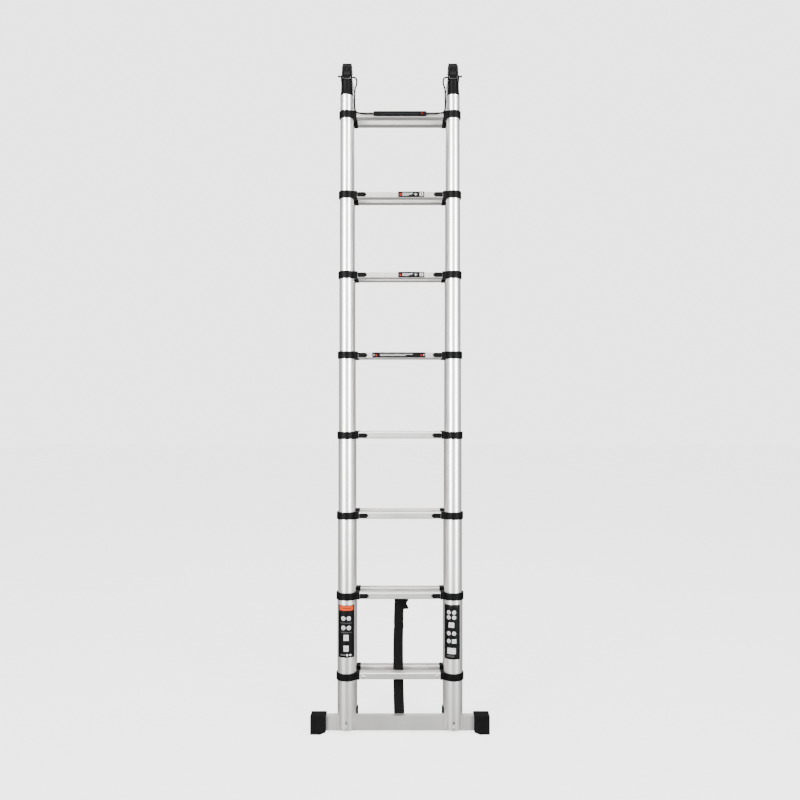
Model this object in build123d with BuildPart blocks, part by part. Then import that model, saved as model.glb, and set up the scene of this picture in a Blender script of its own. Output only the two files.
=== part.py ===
"""Double telescoping ladder: two sections of eight rungs, fully drawn out and folded closed, side by side.

Millimetres, +Z up, +X to the right. The origin is on the ground under the middle of the ladder. The front
section stands at -Y with the stabiliser bar, the back section at +Y, and the hinges join them at the top.
"""

import math
import os

from build123d import *

# Overall sizes
STILE_SPACING = 400.0  # between the axes of the left and right tubes
SECTION_SPACING = 84.0  # between the axes of the front and back tubes
RUNG_PITCH = 300.0  # from rung to rung, drawn out
FIRST_RUNG_HEIGHT = 216.0
STAGES = 7

# Tubes
LARGEST_TUBE_RADIUS = 35.0
TUBE_WALL = 1.4
TUBE_GAP = 0.4  # between a tube and the next one inside it
TUBE_OVERLAP = 150.0  # length of a tube left inside the one below
FRONT_TUBE_BOTTOM = 17.0
TOP_STUB = 73.0  # from the top rung's middle to the rim of the smallest tube
GROOVE_WIDTH = 1.4
GROOVE_DEPTH = 0.35
GROOVE_DROP = 96.0  # below the collar above

# Collars
COLLAR_HEIGHT = 27.0
COLLAR_THICKNESS = 4.3
COLLAR_LIP = 2.0
BOSS_LENGTH = 9.5
SPIGOT_LENGTH = 6.0
FIT_GAP = 0.3
PLUG_GAP = 0.7  # between a plug and the inside of a rung, so that it clears the rounded corners
OVERCUT = 1.0  # how far a cut starts outside the surface that it cuts
COLLAR_ROUND = 1.5
END_BUSH_HEIGHT = 20.0
END_BUSH_WALL = 3.0

# Rungs
RUNG_DEPTH = 38.0
RUNG_HEIGHT = 24.0
RUNG_WALL = 2.0
RUNG_CORNER = 4.0
TREAD_GROOVES = 8
TREAD_GROOVE_WIDTH = 1.4
TREAD_GROOVE_DEPTH = 0.8
TREAD_GROOVE_PITCH = 3.6
FACE_LINE_HEIGHT = 6.0
FACE_LINE_WIDTH = 0.9
FACE_LINE_DEPTH = 0.4
RIVET_RADIUS = 3.8
RIVET_HEAD = 1.3
RIVET_INSET = 14.0

# Release buttons and lock pins
BUTTON_LENGTH = 29.5
BUTTON_HEIGHT = 17.0
BUTTON_PROUD = 4.0
BUTTON_TRAVEL = 12.0
STEM_LENGTH = 14.0
STEM_HEIGHT = 8.0
CARRIER_LENGTH = 27.0
CARRIER_DEPTH = 28.0
CARRIER_HEIGHT = 18.0
PIN_RADIUS = 4.0
PIN_CLEARANCE = 0.4
SPRING_RADIUS = 5.0
SPRING_WIRE = 1.2
SPRING_LENGTH = 10.0
SPRING_STOP = 6.0
SPRING_PLAY = 0.5
BUTTON_CORNER = 2.5
BUTTON_ROUND = 1.2
CARRIER_PLAY = 0.5

# Stabiliser
BAR_HEIGHT = 55.0
BAR_DEPTH = 25.0
BAR_WALL = 2.0
BAR_BOTTOM = 11.0
BAR_LENGTH = 600.0
BAR_SCREW_HEIGHT = 29.0
BAR_HOLE_HEIGHT = 47.0
BAR_HOLE_RADIUS = 4.3
SCREW_RADIUS = 2.5
SCREW_HEAD_RADIUS = 4.3
SCREW_HEAD = 2.4
SCREW_LENGTH = 6.0  # inside the bar
FOOT_LENGTH = 58.0
FOOT_TREAD = 36.0
FOOT_HEIGHT = 69.5
FOOT_DEPTH = 54.0
FOOT_REACH = 335.0
FOOT_TILT = 9.0  # height of the sole's inner end
FOOT_ROUND = 2.0
BACK_FOOT_HEIGHT = 68.0
BACK_FOOT_WALL = 4.0
BACK_FOOT_SOLE = 6.0
BACK_FOOT_ROUND = 2.0

# Hinges
PIVOT_RISE = 104.0  # from the rim of the smallest tube to the pivot
CHEEK_RADIUS = 35.0
CHEEK_INNER = 13.5
CHEEK_THICKNESS = 3.7
PLATE_GAP = 0.4
PLATE_THICKNESS = 4.0
SOCKET_SWEEP = 36.0  # the sockets stay outside this radius about the pivot
SOCKET_TOP = 48.0  # below the pivot
SOCKET_FOOT = 5.0
SOCKET_WAIST = 21.5
SOCKET_SPIGOT = 60.0
SOCKET_CONE = 16.0  # height of the cone between the foot and the waist
PLATE_REACH = 14.0  # half the depth of a plate where it enters its socket
PLATE_SHOULDER = 4.0
PLATE_HOLLOW = 22.0
PIVOT_RADIUS = 5.0
PIVOT_CLEARANCE = 0.25
PIVOT_HEAD_RADIUS = 9.0
PIVOT_HEAD = 0.9
LOCK_WHEEL_RADIUS = 13.0
LOCK_NOTCH = 5.0
OPEN_ANGLE = 35.0
TUBE_RIVET_RADIUS = 3.0
TUBE_RIVET_HEAD = 1.0
TUBE_RIVET_DROPS = (9.0, 44.0)  # below the rim

# Hinge release
LEVER_HALF_WIDTH = 12.3
LEVER_BACK = 15.0
LEVER_RADIUS = 34.5
LEVER_NOSE = 1.0  # in front of the tube's axis
LEVER_NOSE_TOP = -20.0
LEVER_BOTTOM = -38.0
CORD_RADIUS = 2.7
CORD_HOLE = 3.5
CORD_HOLE_REACH = 20.0
HANDLE_LENGTH = 197.0
HANDLE_HEIGHT = 18.0
HANDLE_DEPTH = 7.0
HANDLE_ROUND = 2.5

# The route of the release cord, from its knot outside the hinge to the end of the handle. In the first
# run of points X is outwards from the tube's axis, Y backwards from it and Z up from the pivot.
CORD_AT_HINGE = [
    (29.0, 3.0, -28.0),
    (18.0, 3.0, -31.0),
    (-12.0, 2.8, -31.2),
    (-31.0, 1.0, -32.0),
    (-38.0, -4.0, -42.0),
    (-38.0, -10.0, -64.0),
]
# In these X is outwards from the tube's axis, Y backwards from the rung's face and Z up from the top rung.
CORD_AT_RUNG = [
    (-31.0, 6.0, 98.0),
    (-30.5, 0.0, 60.0),
    (-31.0, -5.5, 22.0),
    (-35.0, -6.5, 5.0),
    (-50.0, -6.5, 0.5),
]
# And in these X is outwards from the end of the handle.
CORD_AT_HANDLE = [
    (20.0, -6.0, -1.0),
    (0.0, -5.5, 0.0),
]
CORD_BEND = 0.45  # share of the shorter run beside a corner that its arc takes

# Strap
STRAP_WIDTH = 38.0
STRAP_THICKNESS = 1.8
STRAP_TOP = 524.0
STRAP_BOTTOM = 32.0
BUCKLE_LENGTH = 42.0
BUCKLE_WIDTH = 28.0
BUCKLE_DEPTH = 7.0
BUCKLE_MIDDLE = 477.0
BUCKLE_SHIFT = 18.0
BUCKLE_ROUND = 3.0
STRAP_RIVET_RADIUS = 5.8

# What follows from them
STILE_X = STILE_SPACING / 2
SIDES = (-1, 1)
TUBE_STEP = TUBE_WALL + TUBE_GAP
TOP_RUNG = FIRST_RUNG_HEIGHT + STAGES * RUNG_PITCH
TUBE_RIM = TOP_RUNG + TOP_STUB
PIVOT_Z = TUBE_RIM + PIVOT_RISE
SECTIONS = {"front": -1, "back": 1}


def tube_radius(stage):
    """Outer radius of the tubes of a stage, counted from 1 at the bottom."""
    return LARGEST_TUBE_RADIUS - (stage - 1) * TUBE_STEP


def rung_height(rung):
    """Height of the middle of a rung, counted from 1 at the bottom."""
    return FIRST_RUNG_HEIGHT + (rung - 1) * RUNG_PITCH


def cord_route():
    """The corners of the cord's route on the right, from the hinge to the handle."""
    axis = section_y("front")
    face = axis - RUNG_DEPTH / 2
    route = [(STILE_X + x, axis + y, PIVOT_Z + z) for x, y, z in CORD_AT_HINGE]
    route += [(STILE_X + x, face + y, TOP_RUNG + z) for x, y, z in CORD_AT_RUNG]
    route += [(HANDLE_LENGTH / 2 + x, face + y, TOP_RUNG + z) for x, y, z in CORD_AT_HANDLE]
    return route


def tube_ends(stage, section):
    """Bottom and top of the tubes of a stage."""
    rim = COLLAR_HEIGHT / 2 - COLLAR_LIP
    top = TUBE_RIM if stage == STAGES else rung_height(stage + 1) + rim
    if stage > 1:
        return rung_height(stage) + rim - TUBE_OVERLAP, top
    return (FRONT_TUBE_BOTTOM if section == "front" else BACK_FOOT_SOLE), top


def boss_end(stage):
    """Distance of a rung's end from the middle of the ladder, for rungs on the tubes of a stage."""
    return STILE_X - tube_radius(stage) - COLLAR_THICKNESS - BOSS_LENGTH


def section_y(section):
    """Y of the tube axes of a section."""
    return SECTIONS[section] * SECTION_SPACING / 2


def rungs_of(stage):
    """The rungs fixed to the tubes of a stage: the bottom stage carries two, the others one."""
    return (1, 2) if stage == 1 else (stage + 1,)


def rod_x(radius, start, end, y, z, mode=Mode.ADD):
    """A round rod along X from start to end."""
    with Locations(((start + end) / 2, y, z)):
        Cylinder(radius, abs(end - start), rotation=(0, 90, 0), mode=mode)


def rod_y(radius, start, end, x, z, mode=Mode.ADD):
    """A round rod along Y from start to end."""
    with Locations((x, (start + end) / 2, z)):
        Cylinder(radius, abs(end - start), rotation=(90, 0, 0), mode=mode)


def block(x_range, y_range, z_range, mode=Mode.ADD):
    """A box from its limits along X, Y and Z."""
    low = [min(r) for r in (x_range, y_range, z_range)]
    size = [abs(r[1] - r[0]) for r in (x_range, y_range, z_range)]
    with Locations(tuple(a + b / 2 for a, b in zip(low, size))):
        Box(*size, mode=mode)


def save(label, *pieces):
    """Writes the pieces of one node, each a solid of its own, to a STEP file."""
    solids = [solid for piece in pieces for solid in piece.solids()]
    node = Compound(label=label, children=solids)
    export_step(node, f"parts/{label}.step")


def stage_tubes(stage, section):
    """The left and right tubes of a stage, with their lock holes and the rolled line round them."""
    y = section_y(section)
    outer = tube_radius(stage)
    bottom, top = tube_ends(stage, section)
    with BuildPart() as tubes:
        with BuildSketch(Plane.XY.offset(bottom)):
            with Locations(*[(side * STILE_X, y) for side in SIDES]):
                Circle(outer)
                Circle(outer - TUBE_WALL, mode=Mode.SUBTRACT)
        extrude(amount=top - bottom)
        if 1 < stage < STAGES:
            with BuildSketch(Plane.XY.offset(rung_height(stage + 1) - GROOVE_DROP)):
                with Locations(*[(side * STILE_X, y) for side in SIDES]):
                    Circle(outer + OVERCUT)
                    Circle(outer - GROOVE_DEPTH, mode=Mode.SUBTRACT)
            extrude(amount=GROOVE_WIDTH, mode=Mode.SUBTRACT)
        locks = [stage] if stage > 1 else []
        if stage < STAGES:
            locks.append(stage + 1)
        for rung in locks:
            for side in SIDES:
                inner_side = side * (STILE_X - outer - OVERCUT)
                rod_x(
                    PIN_RADIUS + PIN_CLEARANCE,
                    inner_side,
                    inner_side + side * (TUBE_WALL + PIN_RADIUS),
                    y,
                    rung_height(rung),
                    Mode.SUBTRACT,
                )
        if stage == 1 and section == "front":
            slot = BAR_DEPTH / 2
            block(
                (-STILE_SPACING, STILE_SPACING),
                (y - slot, y + slot),
                (0, BAR_BOTTOM + BAR_HEIGHT),
                Mode.SUBTRACT,
            )
            for side in SIDES:
                face = (y - outer - OVERCUT, y - outer + TUBE_WALL + OVERCUT)
                rod_y(BAR_HOLE_RADIUS, *face, side * STILE_X, BAR_HOLE_HEIGHT, Mode.SUBTRACT)
                rod_y(SCREW_RADIUS, *face, side * STILE_X, BAR_SCREW_HEIGHT, Mode.SUBTRACT)
    return tubes.part


def rung_bar(rung, stage, section):
    """One hollow rung with a grooved tread, and slots for the release buttons where it has them."""
    y = section_y(section)
    z = rung_height(rung)
    end = boss_end(stage)
    outward = SECTIONS[section]
    tread = z + RUNG_HEIGHT / 2 - TREAD_GROOVE_DEPTH / 2
    with BuildPart() as bar:
        with BuildSketch(Plane.YZ.offset(-end)):
            with Locations((y, z)):
                RectangleRounded(RUNG_DEPTH, RUNG_HEIGHT, RUNG_CORNER)
                RectangleRounded(
                    RUNG_DEPTH - 2 * RUNG_WALL,
                    RUNG_HEIGHT - 2 * RUNG_WALL,
                    RUNG_CORNER - RUNG_WALL,
                    mode=Mode.SUBTRACT,
                )
            with Locations((y, tread)):
                with GridLocations(TREAD_GROOVE_PITCH, 1, TREAD_GROOVES, 1):
                    Rectangle(TREAD_GROOVE_WIDTH, TREAD_GROOVE_DEPTH, mode=Mode.SUBTRACT)
            with Locations((y, z)):
                with GridLocations(RUNG_DEPTH - FACE_LINE_DEPTH, 2 * FACE_LINE_HEIGHT, 2, 2):
                    Rectangle(FACE_LINE_DEPTH, FACE_LINE_WIDTH, mode=Mode.SUBTRACT)
        extrude(amount=2 * end)
        if 1 < rung < STAGES + 1:
            stem = button_middle(stage) + STEM_LENGTH / 2 + FIT_GAP
            slot = STEM_LENGTH + BUTTON_TRAVEL + 2 * FIT_GAP
            face = y + outward * RUNG_DEPTH / 2
            for side in SIDES:
                block(
                    (side * stem, side * (stem - slot)),
                    (face - outward * (RUNG_WALL + OVERCUT), face + outward * OVERCUT),
                    (z - STEM_HEIGHT / 2 - FIT_GAP, z + STEM_HEIGHT / 2 + FIT_GAP),
                    Mode.SUBTRACT,
                )
    return bar.part


def rung_rivets(rung, stage, section):
    """The rivets at both ends of a rung without buttons."""
    face = section_y(section) + SECTIONS[section] * RUNG_DEPTH / 2
    with BuildPart() as rivets:
        for side in SIDES:
            x = side * (boss_end(stage) - RIVET_INSET)
            rod_y(RIVET_RADIUS, face, face + SECTIONS[section] * RIVET_HEAD, x, rung_height(rung))
    return rivets.part


def tube_rivets(section):
    """The rivets through the sides of the top stubs that hold the hinge sockets."""
    y = section_y(section)
    with BuildPart() as rivets:
        for side in SIDES:
            for direction in SIDES:
                wall = side * STILE_X + direction * tube_radius(STAGES)
                for drop in TUBE_RIVET_DROPS:
                    inside = wall - direction * TUBE_WALL / 2
                    rod_x(TUBE_RIVET_RADIUS, inside, wall + direction * TUBE_RIVET_HEAD, y, TUBE_RIM - drop)
    return rivets.part


def stage_frame(stage, section):
    """The aluminium of one stage: its tubes, its rungs and their rivets."""
    pieces = [stage_tubes(stage, section)]
    for rung in rungs_of(stage):
        pieces.append(rung_bar(rung, stage, section))
        if rung in (1, STAGES + 1):
            pieces.append(rung_rivets(rung, stage, section))
    save(f"{section}_stage_{stage}_frame", *pieces)


def collar_pair(rung, stage, section):
    """The moulded collars that join a rung to its tubes, with a lip over the tube's rim."""
    y = section_y(section)
    z = rung_height(rung)
    radius = tube_radius(stage)
    outer = radius + COLLAR_THICKNESS
    half = COLLAR_HEIGHT / 2
    end = boss_end(stage)
    hollow = (RUNG_DEPTH / 2 - RUNG_WALL - PLUG_GAP, RUNG_HEIGHT / 2 - RUNG_WALL - PLUG_GAP)
    open_top = rung == 1 or stage == STAGES
    with BuildPart() as collars:
        for side in SIDES:
            with Locations((side * STILE_X, y, z)):
                Cylinder(outer, COLLAR_HEIGHT)
        fillet(collars.edges().filter_by(GeomType.CIRCLE), COLLAR_ROUND)
        for side in SIDES:
            block(
                (side * end, side * STILE_X),
                (y - RUNG_DEPTH / 2, y + RUNG_DEPTH / 2),
                (z - half, z + half),
            )
            block(
                (side * end, side * (end - SPIGOT_LENGTH)),
                (y - hollow[0], y + hollow[0]),
                (z - hollow[1], z + hollow[1]),
            )
            with Locations((side * STILE_X, y, z if open_top else z - COLLAR_LIP)):
                Cylinder(radius, COLLAR_HEIGHT, mode=Mode.SUBTRACT)
            if not open_top:
                with Locations((side * STILE_X, y, z)):
                    Cylinder(radius - TUBE_STEP + TUBE_GAP, COLLAR_HEIGHT, mode=Mode.SUBTRACT)
                bore = side * (end - SPIGOT_LENGTH - OVERCUT)
                rod_x(PIN_RADIUS + PIN_CLEARANCE, bore, side * STILE_X, y, z, Mode.SUBTRACT)
    return collars.part


def spring_stops(rung, stage, section):
    """The plugs inside a rung that the two button springs push against."""
    y = section_y(section)
    z = rung_height(rung)
    start = carrier_outer(stage) - CARRIER_LENGTH - SPRING_LENGTH - BUTTON_TRAVEL - SPRING_PLAY
    depth = RUNG_DEPTH / 2 - RUNG_WALL - PLUG_GAP
    height = RUNG_HEIGHT / 2 - RUNG_WALL - PLUG_GAP
    with BuildPart() as stops:
        for side in SIDES:
            block(
                (side * start, side * (start - SPRING_STOP)),
                (y - depth, y + depth),
                (z - height, z + height),
            )
    return stops.part


def end_bushes(stage, section):
    """The plastic bushes in the bottom ends of the inner tubes."""
    bottom, _ = tube_ends(stage, section)
    bore = tube_radius(stage) - TUBE_WALL
    with BuildPart() as bushes:
        with BuildSketch(Plane.XY.offset(bottom)):
            with Locations(*[(side * STILE_X, section_y(section)) for side in SIDES]):
                Circle(bore)
                Circle(bore - END_BUSH_WALL, mode=Mode.SUBTRACT)
        extrude(amount=END_BUSH_HEIGHT)
        with BuildSketch(Plane.XY.offset(bottom)):
            with Locations(*[(side * STILE_X, section_y(section)) for side in SIDES]):
                Circle(tube_radius(stage))
                Circle(bore - END_BUSH_WALL, mode=Mode.SUBTRACT)
        extrude(amount=-END_BUSH_WALL / 2)
    return bushes.part


def stage_collars(stage, section):
    """The plastic of one stage: collars, spring stops and end bushes."""
    pieces = [collar_pair(rung, stage, section) for rung in rungs_of(stage)]
    if stage < STAGES:
        pieces.append(spring_stops(stage + 1, stage, section))
    if stage > 1:
        pieces.append(end_bushes(stage, section))
    save(f"{section}_stage_{stage}_collars", *pieces)


def button_middle(stage):
    """Distance of a button's middle from the middle of the ladder."""
    return boss_end(stage) - CARRIER_PLAY - BUTTON_LENGTH / 2


def carrier_outer(stage):
    """Distance of a release carrier's outer end from the middle of the ladder."""
    return boss_end(stage) - SPIGOT_LENGTH - CARRIER_PLAY


def release(rung, section, side):
    """One release: its button, the carrier inside the rung, the lock pin and the return spring."""
    stage = rung - 1
    y = section_y(section)
    z = rung_height(rung)
    outward = SECTIONS[section]
    middle = button_middle(stage)
    face = y + outward * (RUNG_DEPTH / 2 + FIT_GAP)
    top = face + outward * BUTTON_PROUD
    outer = carrier_outer(stage)
    inner = outer - CARRIER_LENGTH
    with BuildPart() as button:
        with BuildSketch(Plane.XZ.offset(-face)):
            with Locations((side * middle, z)):
                RectangleRounded(BUTTON_LENGTH, BUTTON_HEIGHT, BUTTON_CORNER)
        extrude(amount=-outward * BUTTON_PROUD)
        fillet(button.faces().sort_by(Axis.Y)[0 if outward < 0 else -1].edges(), BUTTON_ROUND)
        stem = (middle - STEM_LENGTH / 2, middle + STEM_LENGTH / 2)
        block(
            (side * stem[0], side * stem[1]),
            (y, top - outward * BUTTON_PROUD / 2),
            (z - STEM_HEIGHT / 2, z + STEM_HEIGHT / 2),
        )
        block(
            (side * inner, side * outer),
            (y - CARRIER_DEPTH / 2, y + CARRIER_DEPTH / 2),
            (z - CARRIER_HEIGHT / 2, z + CARRIER_HEIGHT / 2),
        )
        tip = STILE_X - tube_radius(stage) + TUBE_WALL
        rod_x(PIN_RADIUS, side * (outer - OVERCUT), side * tip, y, z)
    with BuildPart() as spring:
        with BuildSketch(Plane.YZ.offset(side * inner)):
            with Locations((y, z)):
                Circle(SPRING_RADIUS)
                Circle(SPRING_RADIUS - SPRING_WIRE, mode=Mode.SUBTRACT)
        extrude(amount=-side * SPRING_LENGTH)
    hand = "left" if side < 0 else "right"
    save(f"{section}_rung_{rung}_release_{hand}", button.part, spring.part)


def stabiliser_bar():
    """The hollow bar through the bottoms of the front tubes, and the screws that hold it."""
    y = section_y("front")
    front = y - tube_radius(1)
    with BuildPart() as bar:
        with BuildSketch(Plane.YZ.offset(-BAR_LENGTH / 2)):
            with Locations((y, BAR_BOTTOM + BAR_HEIGHT / 2)):
                Rectangle(BAR_DEPTH, BAR_HEIGHT)
                Rectangle(BAR_DEPTH - 2 * BAR_WALL, BAR_HEIGHT - 2 * BAR_WALL, mode=Mode.SUBTRACT)
        extrude(amount=BAR_LENGTH)
        for side in SIDES:
            hole = (y - BAR_DEPTH / 2 - OVERCUT, y - BAR_DEPTH / 2 + BAR_WALL + OVERCUT)
            rod_y(SCREW_RADIUS, *hole, side * STILE_X, BAR_SCREW_HEIGHT, Mode.SUBTRACT)
            rod_y(BAR_HOLE_RADIUS, *hole, side * STILE_X, BAR_HOLE_HEIGHT, Mode.SUBTRACT)
    with BuildPart() as screws:
        for side in SIDES:
            inside = y - BAR_DEPTH / 2 + SCREW_LENGTH
            rod_y(SCREW_RADIUS, front - SCREW_HEAD / 2, inside, side * STILE_X, BAR_SCREW_HEIGHT)
            rod_y(SCREW_HEAD_RADIUS, front - SCREW_HEAD, front, side * STILE_X, BAR_SCREW_HEIGHT)
    save("stabiliser_bar", bar.part, screws.part)


def stabiliser_feet():
    """The rubber feet on the ends of the bar, wedge-shaped underneath."""
    y = section_y("front")
    inner = FOOT_REACH - FOOT_LENGTH
    bar_end = BAR_LENGTH / 2
    with BuildPart() as feet:
        for side in SIDES:
            with BuildSketch(Plane.XZ.offset(-(y + FOOT_DEPTH / 2))):
                with BuildLine():
                    Polyline(
                        (side * FOOT_REACH, 0),
                        (side * (FOOT_REACH - FOOT_TREAD), 0),
                        (side * inner, FOOT_TILT),
                        (side * inner, FOOT_HEIGHT),
                        (side * FOOT_REACH, FOOT_HEIGHT),
                        close=True,
                    )
                make_face()
            extrude(amount=FOOT_DEPTH)
        fillet(feet.edges().filter_by(Axis.Y).group_by(Axis.Z)[-1], FOOT_ROUND)
        for side in SIDES:
            block(
                (side * (inner - OVERCUT), side * bar_end),
                (y - BAR_DEPTH / 2, y + BAR_DEPTH / 2),
                (BAR_BOTTOM, BAR_BOTTOM + BAR_HEIGHT),
                Mode.SUBTRACT,
            )
    save("stabiliser_feet", feet.part)


def back_feet():
    """The rubber caps on the bottoms of the back tubes."""
    y = section_y("back")
    bore = tube_radius(1)
    with BuildPart() as feet:
        for side in SIDES:
            with Locations((side * STILE_X, y, BACK_FOOT_HEIGHT / 2)):
                Cylinder(bore + BACK_FOOT_WALL, BACK_FOOT_HEIGHT)
        fillet(feet.edges().filter_by(GeomType.CIRCLE), BACK_FOOT_ROUND)
        for side in SIDES:
            with Locations((side * STILE_X, y, BACK_FOOT_SOLE + BACK_FOOT_HEIGHT / 2)):
                Cylinder(bore, BACK_FOOT_HEIGHT, mode=Mode.SUBTRACT)
    save("back_feet", feet.part)


def hinge_sockets(section):
    """The hinge sockets that plug into the top tubes of a section, one solid a side with their plates."""
    y = section_y(section)
    outward = SECTIONS[section]
    top = PIVOT_Z - SOCKET_TOP
    neck = TUBE_RIM + SOCKET_FOOT
    waist = neck + SOCKET_CONE
    rim = tube_radius(STAGES)
    front = section == "front"
    plate_inner = CHEEK_INNER if front else CHEEK_INNER + CHEEK_THICKNESS + PLATE_GAP
    thickness = CHEEK_THICKNESS if front else PLATE_THICKNESS
    reach = y + outward * PLATE_REACH
    shoulder = top + PLATE_SHOULDER
    floor = PIVOT_Z - CHEEK_RADIUS + OVERCUT
    with BuildPart() as sockets:
        for side in SIDES:
            x = side * STILE_X
            with Locations((x, y, TUBE_RIM - SOCKET_SPIGOT / 2)):
                Cylinder(rim - TUBE_WALL, SOCKET_SPIGOT)
            with Locations((x, y, (TUBE_RIM + neck) / 2)):
                Cylinder(rim, neck - TUBE_RIM)
            with Locations((x, y, (neck + waist) / 2)):
                Cone(rim, SOCKET_WAIST, waist - neck)
            with Locations((x, y, (waist + top) / 2)):
                Cylinder(SOCKET_WAIST, top - waist)
            rod_x(SOCKET_SWEEP, x - CHEEK_RADIUS, x + CHEEK_RADIUS, 0, PIVOT_Z, Mode.SUBTRACT)
        for side in SIDES:
            for layer in SIDES:
                start = side * STILE_X + layer * plate_inner
                with BuildSketch(Plane.YZ.offset(start)):
                    with Locations((0, PIVOT_Z)):
                        Circle(CHEEK_RADIUS)
                    with BuildLine():
                        Polyline(
                            (outward * CHEEK_RADIUS, PIVOT_Z),
                            (outward * CHEEK_RADIUS, shoulder),
                            (reach - outward * PLATE_SHOULDER, top - PLATE_SHOULDER / 2),
                            (reach, waist),
                            (y - outward * PLATE_REACH, waist),
                            (y - outward * PLATE_HOLLOW, floor),
                            (0, floor),
                            (0, PIVOT_Z),
                            close=True,
                        )
                    make_face()
                    with Locations((0, PIVOT_Z)):
                        Circle(PIVOT_RADIUS + (PIVOT_CLEARANCE if front else 0), mode=Mode.SUBTRACT)
                extrude(amount=layer * thickness)
    return sockets.part


def pivot_bolts():
    """The pivot bolts with their flat heads."""
    half = CHEEK_INNER + CHEEK_THICKNESS + PLATE_GAP + PLATE_THICKNESS
    with BuildPart() as bolts:
        for side in SIDES:
            x = side * STILE_X
            rod_x(PIVOT_RADIUS, x - half, x + half, 0, PIVOT_Z)
            rod_x(PIVOT_HEAD_RADIUS, x - half - PIVOT_HEAD, x - half, 0, PIVOT_Z)
            rod_x(PIVOT_HEAD_RADIUS, x + half, x + half + PIVOT_HEAD, 0, PIVOT_Z)
    return bolts.part


def lock_wheels():
    """The notched wheels between the cheeks, with a notch for each set angle of the hinge."""
    half = LEVER_HALF_WIDTH - FIT_GAP
    with BuildPart() as wheels:
        for side in SIDES:
            x = side * STILE_X
            rod_x(LOCK_WHEEL_RADIUS, x - half, x + half, 0, PIVOT_Z)
            for angle in (0, OPEN_ANGLE, 180):
                turn = math.radians(180 - angle)
                notch = (LOCK_WHEEL_RADIUS * math.cos(turn), LOCK_WHEEL_RADIUS * math.sin(turn))
                reach = (x - LOCK_WHEEL_RADIUS, x + LOCK_WHEEL_RADIUS)
                rod_x(LOCK_NOTCH / 2, *reach, notch[0], PIVOT_Z + notch[1], Mode.SUBTRACT)
            rod_x(PIVOT_RADIUS, x - half, x + half, 0, PIVOT_Z, Mode.SUBTRACT)
    return wheels.part


def hinge_levers():
    """The lock levers between the front cheeks, which the release cord pulls down."""
    nose = SECTION_SPACING / 2 + LEVER_NOSE
    with BuildPart() as levers:
        for side in SIDES:
            with BuildSketch(Plane.YZ.offset(side * STILE_X - LEVER_HALF_WIDTH)):
                with Locations((0, PIVOT_Z)):
                    Circle(LEVER_RADIUS)
                with Locations((LEVER_RADIUS - LEVER_BACK, PIVOT_Z)):
                    Rectangle(2 * LEVER_RADIUS, 3 * LEVER_RADIUS, mode=Mode.SUBTRACT)
                with Locations((0, PIVOT_Z + LEVER_BOTTOM)):
                    Rectangle(
                        3 * LEVER_RADIUS,
                        LEVER_RADIUS,
                        align=(Align.CENTER, Align.MAX),
                        mode=Mode.SUBTRACT,
                    )
                with Locations((-nose, PIVOT_Z + LEVER_BOTTOM)):
                    Rectangle(
                        nose - LEVER_BACK,
                        LEVER_NOSE_TOP - LEVER_BOTTOM,
                        align=(Align.MIN, Align.MIN),
                    )
            extrude(amount=2 * LEVER_HALF_WIDTH)
            _, y, z = cord_route()[1]
            ends = (side * STILE_X - CORD_HOLE_REACH, side * STILE_X + CORD_HOLE_REACH)
            rod_x(CORD_HOLE, *ends, y, z, Mode.SUBTRACT)
    return levers.part


def cord_radii(route):
    """The radius of the arc at each corner of a route, as large as the two runs beside it allow."""
    radii = []
    for before, corner, after in zip(route, route[1:], route[2:]):
        run_in = Vector(*corner) - Vector(*before)
        run_out = Vector(*after) - Vector(*corner)
        turn = math.radians(run_in.get_angle(run_out))
        radii.append(CORD_BEND * min(run_in.length, run_out.length) / math.tan(turn / 2))
    return radii


def release_cord():
    """The cord through both levers to the handle: a tube along each side's route."""
    corners = cord_route()
    radii = cord_radii(corners)
    tubes = []
    for side in SIDES:
        route = [(side * x, y, z) for x, y, z in corners]
        start = Vector(*route[0])
        along = Vector(*route[1]) - start
        with BuildPart() as tube:
            with BuildLine():
                FilletPolyline(*route, radius=radii)
            with BuildSketch(Plane(origin=start, z_dir=along)):
                Circle(CORD_RADIUS)
            sweep()
        tubes.append(tube.part)
    save("release_cord", *tubes)


def release_handle():
    """The flat sleeve in the middle of the cord, which a hand pulls down."""
    _, y, z = cord_route()[-1]
    half = HANDLE_LENGTH / 2
    with BuildPart() as handle:
        block(
            (-half, half),
            (y - HANDLE_DEPTH / 2, y + HANDLE_DEPTH / 2),
            (z - HANDLE_HEIGHT / 2, z + HANDLE_HEIGHT / 2),
        )
        fillet(handle.edges().filter_by(Axis.X), HANDLE_ROUND)
    return handle.part


def carry_strap():
    """The webbing strap behind the second front rung, its rivet and its buckle."""
    face = section_y("front") + RUNG_DEPTH / 2
    back = face + STRAP_THICKNESS
    with BuildPart() as webbing:
        half = STRAP_WIDTH / 2
        block((-half, half), (face, back), (STRAP_BOTTOM, STRAP_TOP))
    with BuildPart() as rivet:
        rod_y(STRAP_RIVET_RADIUS, back, back + RIVET_HEAD, 0, rung_height(2))
    with BuildPart() as buckle:
        middle = BUCKLE_SHIFT
        half_width = BUCKLE_WIDTH / 2
        block(
            (middle - half_width, middle + half_width),
            (back + RIVET_HEAD, back + RIVET_HEAD + BUCKLE_DEPTH),
            (BUCKLE_MIDDLE - BUCKLE_LENGTH / 2, BUCKLE_MIDDLE + BUCKLE_LENGTH / 2),
        )
        fillet(buckle.edges().filter_by(Axis.Y), BUCKLE_ROUND)
    save("carry_strap", webbing.part, rivet.part, buckle.part)


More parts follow.
